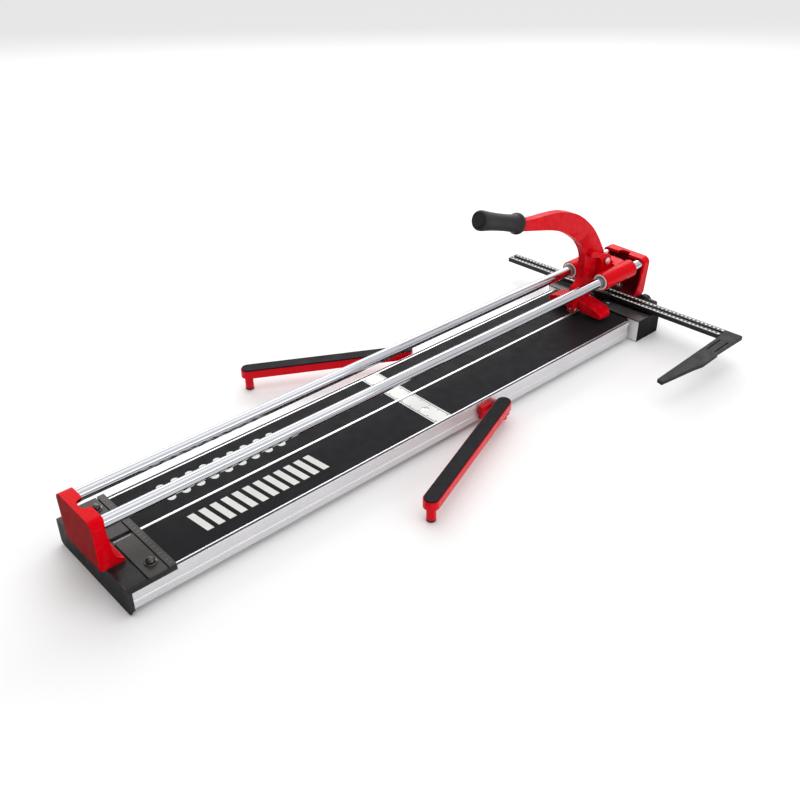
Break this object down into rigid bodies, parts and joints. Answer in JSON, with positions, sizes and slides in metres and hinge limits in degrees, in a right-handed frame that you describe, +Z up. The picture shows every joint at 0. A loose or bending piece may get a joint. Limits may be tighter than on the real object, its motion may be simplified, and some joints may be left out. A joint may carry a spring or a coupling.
{
  "type": "manual tile cutter",
  "caption": "Long manual tile cutter: padded aluminium deck, twin round guide rails, sliding carriage with a curved scoring lever, swinging support arms and an angled sliding fence.",
  "frame": {"origin": "the middle of the underside of the near foot, at floor level, in the cutter's vertical middle plane", "axes": "+X runs along the base from the near foot to the fence end, +Z is up from the floor, and +Y is to the left when looking along +X"},
  "size_m": [1.4232, 0.6694, 0.3872],
  "materials": {
    "red_paint": "gloss",
    "arm_red": "satin",
    "black_steel": "satin",
    "grey_plate": "satin",
    "aluminium": "satin",
    "chrome": "polished",
    "bright_steel": "satin",
    "mat_rubber": "matt",
    "grip_rubber": "matt",
    "polymer": "matt",
    "black_plastic": "satin"
  },
  "bodies": {
    "base": {"left_deck_rail": "aluminium", "near_left_mat": "mat_rubber", "far_left_mat": "mat_rubber", "left_middle_rule": "bright_steel", "left_middle_screw": "bright_steel", "near_left_plate": "grey_plate", "near_left_bolt": "black_steel", "far_left_rule": "grey_plate", "far_left_screw": "bright_steel", "left_slide_rail": "chrome", "near_left_rail_bush": "black_plastic", "far_left_rail_bush": "black_plastic", "left_arm_lug": "arm_red", "left_arm_pin": "arm_red", "right_deck_rail": "aluminium", "near_right_mat": "mat_rubber", "far_right_mat": "mat_rubber", "right_middle_rule": "bright_steel", "right_middle_screw": "bright_steel", "near_right_plate": "grey_plate", "near_right_bolt": "black_steel", "far_right_rule": "grey_plate", "far_right_screw": "bright_steel", "right_slide_rail": "chrome", "near_right_rail_bush": "black_plastic", "far_right_rail_bush": "black_plastic", "right_arm_lug": "arm_red", "right_arm_pin": "arm_red", "centre_rail": "aluminium", "near_bracket": "black_steel", "far_bracket": "black_steel", "stop_strip": "grey_plate", "near_post": "red_paint", "far_post": "red_paint", "near_post_bolt": "bright_steel", "far_post_bolt": "bright_steel"},
    "carriage": {"carriage": "red_paint", "left_near_bearing": "polymer", "left_far_bearing": "polymer", "right_near_bearing": "polymer", "right_far_bearing": "polymer", "pivot_bolt": "bright_steel"},
    "lever": {"lever_arm": "red_paint", "grip": "grip_rubber", "wheel_axle": "bright_steel", "breaker_foot_pin": "bright_steel"},
    "wheel": {"scoring_wheel": "bright_steel"},
    "foot": {"breaker_foot": "red_paint"},
    "fence_swivel": {"fence_block": "black_plastic"},
    "fence_slide": {"fence_bar": "black_plastic", "stop_arm": "black_steel"},
    "knob": {"lock_knob": "black_plastic"},
    "left_arm": {"left_support_arm": "arm_red", "left_arm_pad": "mat_rubber", "left_arm_foot": "grip_rubber"},
    "right_arm": {"right_support_arm": "arm_red", "right_arm_pad": "mat_rubber", "right_arm_foot": "grip_rubber"}
  },
  "joints": [
    {"name": "carriage_slide", "type": "slide", "parent": "base", "child": "carriage", "axis": [1, 0, 0], "range_m": [-1.105, 0.03]},
    {"name": "lever_pivot", "type": "hinge", "parent": "carriage", "child": "lever", "pos_m": [1.276, 0, 0.166], "axis": [0, 1, 0], "range_deg": [0, 26]},
    {"name": "wheel_spin", "type": "hinge", "parent": "lever", "child": "wheel", "pos_m": [1.195, 0, 0.063], "axis": [0, 1, 0], "continuous": true},
    {"name": "foot_rock", "type": "hinge", "parent": "lever", "child": "foot", "pos_m": [1.221, 0, 0.08], "axis": [1, 0, 0], "range_deg": [-5, 5]},
    {"name": "fence_swivel", "type": "hinge", "parent": "base", "child": "fence_swivel", "pos_m": [1.3265, 0, 0.0513], "axis": [0, 0, 1], "range_deg": [-15, 9]},
    {"name": "fence_slide", "type": "slide", "parent": "fence_swivel", "child": "fence_slide", "axis": [-0.0471, 0.9989, 0], "range_m": [-0.06, 0.12]},
    {"name": "knob_turn", "type": "hinge", "parent": "base", "child": "knob", "pos_m": [1.385, -0.08, 0.0435], "axis": [0, -1, 0], "range_deg": [-90, 270]},
    {"name": "left_arm_swing", "type": "hinge", "parent": "base", "child": "left_arm", "pos_m": [0.803, 0.142, 0.031], "axis": [0, 0, 1], "range_deg": [-60, 28]},
    {"name": "right_arm_swing", "type": "hinge", "parent": "base", "child": "right_arm", "pos_m": [0.803, -0.142, 0.031], "axis": [0, 0, 1], "range_deg": [-20, 69]}
  ]
}
